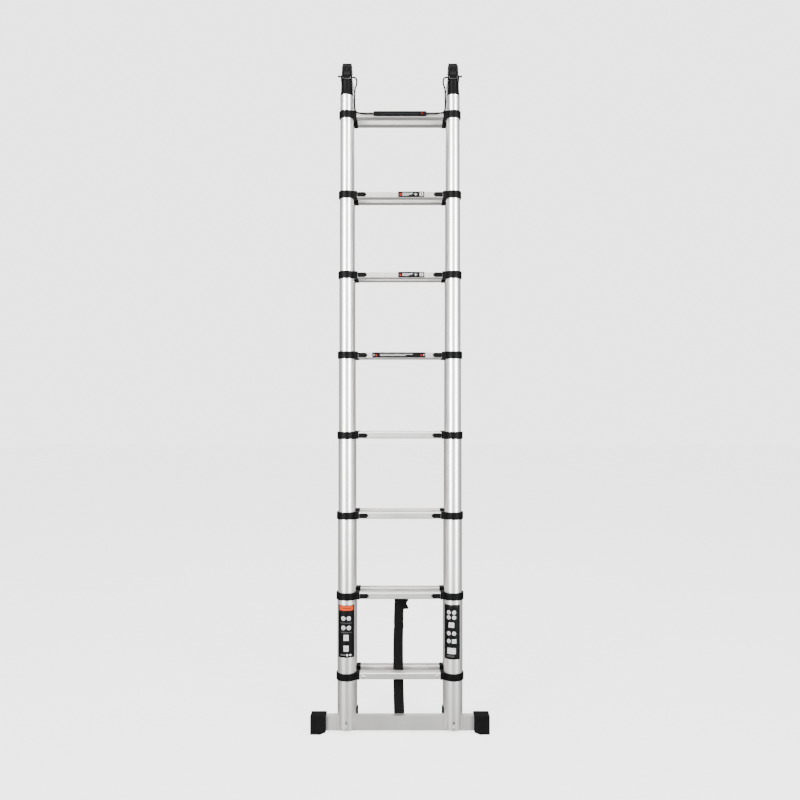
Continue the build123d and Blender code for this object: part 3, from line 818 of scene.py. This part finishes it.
def patch(mark: Mark, size: tuple[float, float], centre: tuple[float, float], steps: int = 9) -> np.ndarray:
    """A shape as a grid, so that it can be wrapped on a tube.

    A disc is a square whose points are drawn in by the root of 1 less half the other coordinate's square. A
    triangle is a square that narrows evenly to its top.

    Args:
        mark: the shape.
        size: width and height, in millimetres.
        centre: its middle, in millimetres.
        steps: points along each side.

    Returns:
        steps by steps by 2 points, in metres.
    """
    v, u = np.meshgrid(np.linspace(-1, 1, steps), np.linspace(-1, 1, steps), indexing="ij")
    if mark is Mark.DISC:
        u, v = u * np.sqrt(1 - v**2 / 2), v * np.sqrt(1 - u**2 / 2)
    if mark is Mark.TRIANGLE:
        u = u * (0.52 - 0.48 * v)
    return np.stack([centre[0] + u * size[0] / 2, centre[1] + v * size[1] / 2], axis=-1) * MM


@dataclass
class Label:
    """One printed label on a black ground. Marks are (shape, ink, size, middle), in millimetres."""

    name: str
    body: str
    size: tuple[float, float]
    middle: tuple[float, float]
    face: float = -61.0
    radius: float = 0.0
    lift: float = 0.2
    film: float = 0.14
    marks: list = field(default_factory=list)

    def put(self, flat: np.ndarray, lift: float) -> np.ndarray:
        """Carries flat points to the rung's face, or wraps them round the tube: angle is arc over radius.

        Args:
            flat: points about the label's middle, in metres.
            lift: distance in front of the face, in millimetres.

        Returns:
            The same points in X, Y and Z, in metres.
        """
        x, z = (c * MM for c in self.middle)
        if not self.radius:
            face = np.full(flat.shape[:-1], (self.face - lift) * MM)
            return np.stack([x + flat[..., 0], face, z + flat[..., 1]], -1)
        reach = (self.radius + lift) * MM
        tube = math.copysign(STILE * MM, x)
        angle = (x + flat[..., 0] - tube) / (self.radius * MM)
        along, depth = tube + reach * np.sin(angle), -AXIS * MM - reach * np.cos(angle)
        return np.stack([along, depth, z + flat[..., 1]], -1)

    def build(self) -> None:
        """The ground and the marks above it, given the film's thickness."""
        surface = Surface(self.name)
        surface.grid(self.put(patch(Mark.BLOCK, self.size, (0, 0), 25), self.lift))
        for mark, ink, size, centre in self.marks:
            steps = 25 if size[0] > 25 else 9
            surface.grid(self.put(patch(mark, size, centre, steps), self.lift + self.film), ink=ink)
        item = surface.build(list(INKS), weld=0.0)
        solid = item.modifiers.new("film", "SOLIDIFY")
        solid.thickness = 0.9 * self.film * MM
        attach(item, self.body)


INKS = (INK_BLACK, INK_PALE, GREY_INK_AND_PAINTED_SHADE, INK_RED, INK_ORANGE)
BLACK, PALE, GREY, RED, ORANGE = range(5)


def bars(left: float, top: float, lengths: tuple[float, ...], gap: float, height: float = 1.5) -> list:
    """Plain bars one under another, in place of lines of words.

    Args:
        left: where they start.
        top: the first one's middle.
        lengths: the length of each.
        gap: from one to the next.
        height: the height of each.

    Returns:
        The marks.
    """
    return [(Mark.BLOCK, PALE, (n, height), (left + n / 2, top - i * gap)) for i, n in enumerate(lengths)]


def badge(ink: int, size: float, centre: tuple[float, float]) -> list:
    """A pale disc with a grey or red figure in it, of a few plain strokes."""
    x, z = centre
    return [(Mark.DISC, PALE, (size, size), centre),
            (Mark.BLOCK, GREY, (size * 0.16, size * 0.52), (x - 1.5, z)),
            (Mark.TRIANGLE, ink, (size * 0.34, size * 0.42), (x + 2.2, z - 0.4))]


def panel(size: tuple[float, float], centre: tuple[float, float]) -> list:
    """A pale panel with a plain ladder figure in it: two strokes and a bar."""
    x, z = centre
    return [(Mark.BLOCK, PALE, size, centre), (Mark.BLOCK, GREY, (1.6, size[1] * 0.6), (x - 3, z)),
            (Mark.BLOCK, GREY, (1.6, size[1] * 0.6), (x + 3, z)), (Mark.BLOCK, GREY, (7.6, 1.6), (x, z + 1))]


@dataclass
class Labels:
    """All the labels: plain marks and no lettering."""

    def left_stile(self) -> Label:
        """An orange heading over four rows of signs."""
        marks = [(Mark.BLOCK, ORANGE, (60, 18), (0, 86)), (Mark.BLOCK, BLACK, (34, 2.2), (4, 86))]
        for z, ink in ((48.0, GREY), (13.0, RED)):
            marks += badge(ink, 16, (-10.5, z)) + badge(ink, 16, (10.5, z))
            marks.append((Mark.BLOCK, GREY, (46, 0.8), (0, z - 17)))
        marks += panel((19, 22), (0, -24)) + panel((19, 22), (0, -64))
        marks += [(Mark.DISC, PALE, (8, 8), (x, -88)) for x in (4, 16)]
        marks += [(Mark.BLOCK, GREY, (9, 3), (x, -88)) for x in (-18, -7)]
        return Label("label_stile_left", "front_base", (69, 195), (-200.4, 387.6), radius=35.0, marks=marks)

    def right_stile(self) -> Label:
        """Two rows of signs, a panel, two more rows and a wide panel, over a footer."""
        marks = []
        for z in (73.0, 54.0, -5.0):
            marks += badge(RED, 15, (-10.5, z)) + badge(GREY, 15, (10.5, z))
        marks += panel((21, 19), (0, 26)) + badge(GREY, 15, (-10.5, -34)) + panel((16, 16), (10.5, -34))
        marks += [(Mark.BLOCK, PALE, (33, 22), (0, -70)), (Mark.BLOCK, RED, (9, 3), (8, -63))]
        marks += [(Mark.BLOCK, GREY, (26, 1.4), (-1, -70 - row)) for row in (0, 4)]
        marks += [(Mark.BLOCK, GREY, (30, 0.9), (-4, -88 - row)) for row in (0, 4)]
        return Label("label_stile_right", "front_base", (68, 203), (190.7, 384.8), radius=35.0, marks=marks)

    def rung_5(self) -> Label:
        """The long notice: a warning sign at both ends and two rows of plain bars."""
        marks = bars(-70, 2.3, (122,), 4) + bars(-70, -2.6, (96,), 4)
        for x, sign in ((-84, -93), (84, 93)):
            marks += [(Mark.TRIANGLE, RED, (7.5, 7.5), (x, 0)), (Mark.DISC, PALE, (4, 4), (sign, 0))]
        return Label("label_rung_5", "front_stage_4", (199, 19.5), (-4.5, rung_height(5) + 0.5), marks=marks)

    def short(self, rung: int) -> Label:
        """The short notice: a warning sign, plain bars, a cross and a figure."""
        marks = [(Mark.TRIANGLE, RED, (8.5, 8), (-41, 0)), *bars(-34, 4, (40, 36, 24), 3.8)]
        marks += [(Mark.BLOCK, PALE, (11, 2.2), (17, 0)), (Mark.BLOCK, PALE, (2.2, 11), (17, 0))]
        marks += [(Mark.BLOCK, PALE, (13, 13), (38, 0)), (Mark.DISC, BLACK, (7, 7), (38, 1)),
                  (Mark.BLOCK, BLACK, (9, 1.5), (38, -5))]
        middle = (42, rung_height(rung) + 0.5)
        return Label(f"label_rung_{rung}", f"front_stage_{rung - 1}", (98, 20.5), middle, marks=marks)

    def build(self) -> None:
        """All five labels."""
        for label in (self.left_stile(), self.right_stile(), self.rung_5(), self.short(6), self.short(7)):
            label.build()
        LOG.info("labels ready")


@dataclass
class Hinges:
    """The hinges: black cheeks, sockets and levers, steel plates, bolts and yokes, and the pull handle."""

    rim: float = 2389.0
    rim_radius: float = 24.2
    top: float = PIVOT - 48.0
    bore: float = 5.3
    disc_radius: float = 34.4
    wheel: float = 13.0
    notches: tuple[float, ...] = (0.0, 145.0, 180.0)
    notch_depth: float = 2.6
    rivet_heights: tuple[float, ...] = (2380.0, 2345.0)
    screw_radius: float = 0.9
    screw_depth: tuple[float, float] = (-0.0359, -0.033)
    yoke_depth: tuple[float, float] = (-0.0475, -0.0405)
    sleeve_half: float = 0.0985
    sleeve_print: float = -0.07015
    cheek: tuple[tuple[float, float], ...] = (
        (17.2, 12.0), (17.2, 24.0), (16.9, 30.0), (16.3, 33.0), (15.2, 34.7))
    plate: tuple[tuple[float, float], ...] = (
        (21.6, 12.0), (20.6, 24.0), (19.2, 29.0), (18.0, 31.6), (17.1, 32.6))

    def drum(self, surface: Surface, x: float, inner: float, gap: float) -> None:
        """Both cheeks or both plates of a hinge: a disc with a tapered outer face, turned about the pivot.

        Args:
            surface: what they are added to.
            x: the hinge's middle, in millimetres.
            inner: distance of the flat inner faces from the middle.
            gap: 0 for the cheeks; the clearance outside them for the plates.
        """
        outer, back = self.cheek, [(inner - 1.0, self.disc_radius), (inner, 30.0)]
        if gap:
            outer, back = self.plate, [(d + gap, r) for d, r in reversed(self.cheek)]
        for turn in (-1, 1):
            profile = [(outer[0][0], self.bore), *outer, *back, (inner, self.bore)]
            surface.lathe([(turn * d, r) for d, r in profile], x)

    def sockets(self, section: int) -> bpy.types.Object:
        """A section's sockets: rings that draw in from the tube's rim to a waist, with ears at the top."""
        surface = Surface(f"hinge_{SECTIONS[section]}_sockets")
        rise = ((-3, 22.7), (0, 22.7), (0, self.rim_radius), (2, 24.4), (6, 23.6), (13, 22.4), (24, 21.6),
                (42, 21.2), (self.top - 1.2 - self.rim, 21.5), (self.top - self.rim, 20.4))
        ear = np.array([(26, -52), (60, -52), (61.5, -40), (58, -31), (51, -27), (41, -26), (33.5, -30),
                        (28, -38)]) * (section, 1) + (0, PIVOT)
        for side in HANDS:
            x = side * STILE
            rings = [circle((x, section * AXIS, self.rim + z), r, 2, 64) for z, r in rise]
            surface.loft(np.array(rings) * MM)
            for turn in (-1, 1):
                add_prism(surface, ear * MM, (x + turn * 17.7) * MM, (x + turn * 21.3) * MM, 0)
        return rounded(surface.build([NYLON]), 0.0007)

    def arms(self, section: int) -> bpy.types.Object:
        """The front section's cheeks or the back one's plates, with their shanks into the sockets."""
        front = section < 0
        surface = Surface("hinge_front_cheeks" if front else "hinge_back_plates")
        shank = np.array([(2, -34), (26, -22), (34, -8), (34.5, -48.2), (51, -50), (55, -72), (28, -72),
                          (20, -34)])
        for side in HANDS:
            x = side * STILE
            inner = 12.9 if front else 17.6
            self.drum(surface, x, inner, 0.0 if front else 0.4)
            low, high = (13.0, 16.6) if front else (17.7, 20.8)
            for turn in (-1, 1):
                outline = (shank * (section, 1) + (0, PIVOT)) * MM
                add_prism(surface, outline, (x + turn * low) * MM, (x + turn * high) * MM, 0)
        return rounded(surface.build([NYLON if front else PLATE]), 0.0005)

    def bolts(self) -> bpy.types.Object:
        """The pivot bolts: domed heads with a shallow round recess, and a shank between them."""
        surface = Surface("hinge_bolts")
        for side in HANDS:
            for turn in (-1, 1):
                profile = [(0.0, 0.01), (0.0, 5.0), (20.9, 5.0), (20.9, 9.0), (21.9, 8.9), (22.4, 7.6),
                           (22.5, 3.2), (21.6, 3.1), (21.5, 0.01)]
                surface.lathe([(turn * d, r) for d, r in profile], side * STILE, 48)
        return surface.build([STEEL])

    def wheels(self) -> bpy.types.Object:
        """The lock wheels: a circle whose radius dips at each of the three set angles."""
        surface = Surface("hinge_lock_wheels")
        angle = np.linspace(0, 2 * math.pi, 180, endpoint=False)
        radius = np.full_like(angle, self.wheel)
        for notch in self.notches:
            away = np.abs((angle - math.radians(notch) + math.pi) % (2 * math.pi) - math.pi)
            radius -= self.notch_depth * np.clip(1.4 - away / 0.14, 0, 1)
        outline = np.stack([radius * np.cos(angle), PIVOT + radius * np.sin(angle)], -1) * MM
        for side in HANDS:
            add_prism(surface, outline, (side * STILE - 11.9) * MM, (side * STILE + 11.9) * MM, 0)
        return rounded(surface.build([STEEL]), 0.0003)

    def levers(self) -> bpy.types.Object:
        """The lock levers: a sector's rim with a nose below, and upright ribs on the face."""
        surface = Surface("hinge_levers")
        arc = np.radians(np.linspace(116, 186, 15))
        rim, ribs, under = (np.stack([r * np.cos(arc), PIVOT + r * np.sin(arc)], -1)
                            for r in (self.disc_radius, 35.3, 33.0))
        nose = [(-42.2, PIVOT - 20.0), (-43.0, PIVOT - 21.0), (-43.0, PIVOT - 36.6), (-41.6, PIVOT - 38.0),
                (-15.0, PIVOT - 38.0)]
        strip = np.array([*ribs[3:], *under[:2:-1]]) * MM
        for side in HANDS:
            x = side * STILE
            add_prism(surface, np.array([*rim, *nose]) * MM, (x - 12.2) * MM, (x + 12.2) * MM, 0)
            for rib in (-9.6, -4.8, 0.0, 4.8, 9.6):
                add_prism(surface, strip, (x + rib - 0.9) * MM, (x + rib + 0.9) * MM, 0)
        return rounded(surface.build([NYLON]), 0.0005)

    def yokes(self) -> bpy.types.Object:
        """The bent steel yokes under the levers' noses, and the small screw in each hinge's face."""
        surface = Surface("hinge_yokes")
        half, wall, low, high = 15.8, 1.5, PIVOT - 39.4, PIVOT - 29.4
        outline = [(-half, high), (-half, low + 2), (-half + 2, low), (half - 2, low), (half, low + 2),
                   (half, high), (half - wall - 1.2, high), (half - wall, low + 3), (half - 3, low + 1.9),
                   (-half + 3, low + 1.9), (-half + wall, low + 3), (-half + wall, high)]
        for side in HANDS:
            add_prism(surface, (np.array(outline) + (side * STILE, 0)) * MM, *self.yoke_depth, 1)
            screw = circle((side * STILE, 0.0, PIVOT + 0.5), self.screw_radius, 1, 16)[:, ::2] * MM
            add_prism(surface, screw, *self.screw_depth, 1)
        return rounded(surface.build([PLATE]), 0.0004)

    def handle(self) -> bpy.types.Object:
        """The padded sleeve: a rounded box with two dim printed lines and a small red sign."""
        surface = Surface("release_handle")
        outline = rectangle(0.007, 0.018, (-0.0665, TOP_RUNG * MM), 0.0025)
        add_prism(surface, outline, -self.sleeve_half, self.sleeve_half, 0)
        for x, width in ((-20, 110), (52, 22)):
            surface.grid(self.print_on(patch(Mark.BLOCK, (width, 0.5), (x, -1.0))), ink=2)
        surface.grid(self.print_on(patch(Mark.TRIANGLE, (5.0, 4.6), (82, 0.5))), ink=1)
        return rounded(surface.build([RUBBER, INK_RED, INK_DIM], weld=0.0), 0.0007)

    def print_on(self, flat: np.ndarray) -> np.ndarray:
        """Carries flat points to just in front of the sleeve's face."""
        face = np.full(flat.shape[:-1], self.sleeve_print)
        return np.stack([flat[..., 0], face, TOP_RUNG * MM + flat[..., 1]], -1)

    def rivets(self, section: int) -> bpy.types.Object:
        """The domed rivets through both sides of each top stub."""
        surface = Surface(f"tube_rivets_{SECTIONS[section]}")
        for side in HANDS:
            for turn in (-1, 1):
                for z in self.rivet_heights:
                    rings = [circle((side * STILE + turn * (self.rim_radius + d), section * AXIS, z), r, 0, 20)
                             for d, r in ((-0.8, 3.0), (0.2, 3.0), (0.7, 2.4), (1.0, 1.2))]
                    surface.loft(np.array(rings) * MM)
        return surface.build([STEEL])

    def build(self) -> None:
        """Every piece of both hinges, each on its body."""
        for section, word in SECTIONS.items():
            arms = self.arms(section)
            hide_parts(f"hinge_{word}_arms")
            for piece in (arms, self.sockets(section), self.rivets(section)):
                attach(piece, f"{word}_stage_7")
        for piece in (self.bolts(), self.wheels()):
            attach(piece, "back_stage_7")
        levers = self.levers()
        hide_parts("hinge_release_levers")
        for piece in (levers, self.yokes(), self.handle()):
            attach(piece, "hinge_release")
        LOG.info("hinges ready")


@dataclass
class RungRivets:
    """The domed rivet heads near the ends of the lowest and the top rungs, each on a thin grey disc of painted
    shadow round its rim.
    """

    face: float = AXIS + 19.0
    spots: tuple[tuple[int, str, float], ...] = ((1, "base", 137.2), (8, "stage_7", 148.0))
    # A thin grey disc, a little wider than the head: painted shadow round each rivet.
    painted_shadow_disc: tuple[tuple[float, float], ...] = ((0.02, 5.0), (0.25, 5.0))
    dome: tuple[tuple[float, float], ...] = ((0.1, 4.2), (1.4, 4.1), (2.0, 3.3), (2.4, 1.8), (2.5, 0.5))

    def build(self) -> None:
        """Each head is a stack of rings that draw in as they come forward, over a thin grey disc of painted
        shadow.
        """
        for section, word in SECTIONS.items():
            for rung, body, x in self.spots:
                surface = Surface(f"rivet_heads_{word}_{rung}")
                for side in HANDS:
                    # Ink 1, the grey disc, is painted shadow; ink 0 is the steel dome.
                    for ink, shape in ((1, self.painted_shadow_disc), (0, self.dome)):
                        rings = [circle((side * x, section * (self.face + d), rung_height(rung)), r, 1, 24)
                                 for d, r in shape]
                        surface.loft(np.array(rings) * MM, ink)
                # The grey label ink, used here as painted shadow round each head.
                item = surface.build([STEEL, GREY_INK_AND_PAINTED_SHADE])
                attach(item, f"{word}_{body}")


@dataclass
class StabiliserFeet:
    """The wedge-shaped rubber feet on the bar's ends, with a grooved tread and a lip at the inner top."""

    depth: tuple[float, float] = (-69.0, -15.0)
    inner: float = 277.0
    outer: float = 335.0
    heel: float = 299.0
    top: float = 69.5
    grooves: tuple[float, ...] = (330.0, 323.0, 316.0, 309.0)
    lip: tuple[tuple[float, float], ...] = ((-1.2, -2.3), (-1.2, -0.5), (0.5, -0.5), (0.5, -2.3))

    def build(self) -> None:
        """Each foot is an outline across the ladder, given depth, with grooves across its tread."""
        surface = Surface("stabiliser_rubber_feet")
        cuts = [(x + dx, z) for x in self.grooves for dx, z in ((1.2, 0), (0.8, 1.6), (-0.8, 1.6), (-1.2, 0))]
        outline = np.array([(self.inner, 9), (self.inner, self.top), (self.outer, self.top), (self.outer, 0),
                            *cuts, (self.heel, 0)]) * MM
        lip = (np.array(self.lip) + (self.inner, self.top)) * MM
        low, high = (d * MM for d in self.depth)
        for side in HANDS:
            add_prism(surface, outline * (side, 1), low, high, 1)
            add_prism(surface, lip * (side, 1), low + 0.006, high - 0.006, 1)
        item = rounded(surface.build([RUBBER]), 0.0016)
        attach(item, "front_base")
        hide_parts("stabiliser_feet")


def main() -> None:
    """Builds the scene in order."""
    logging.basicConfig(level=logging.INFO, format="%(name)s: %(message)s")
    Studio().build()
    CadDressing().build()
    ReleaseCord().build()
    Strap().build()
    Hinges().build()
    RungRivets().build()
    StabiliserFeet().build()
    Labels().build()


if __name__ == "__main__":
    main()
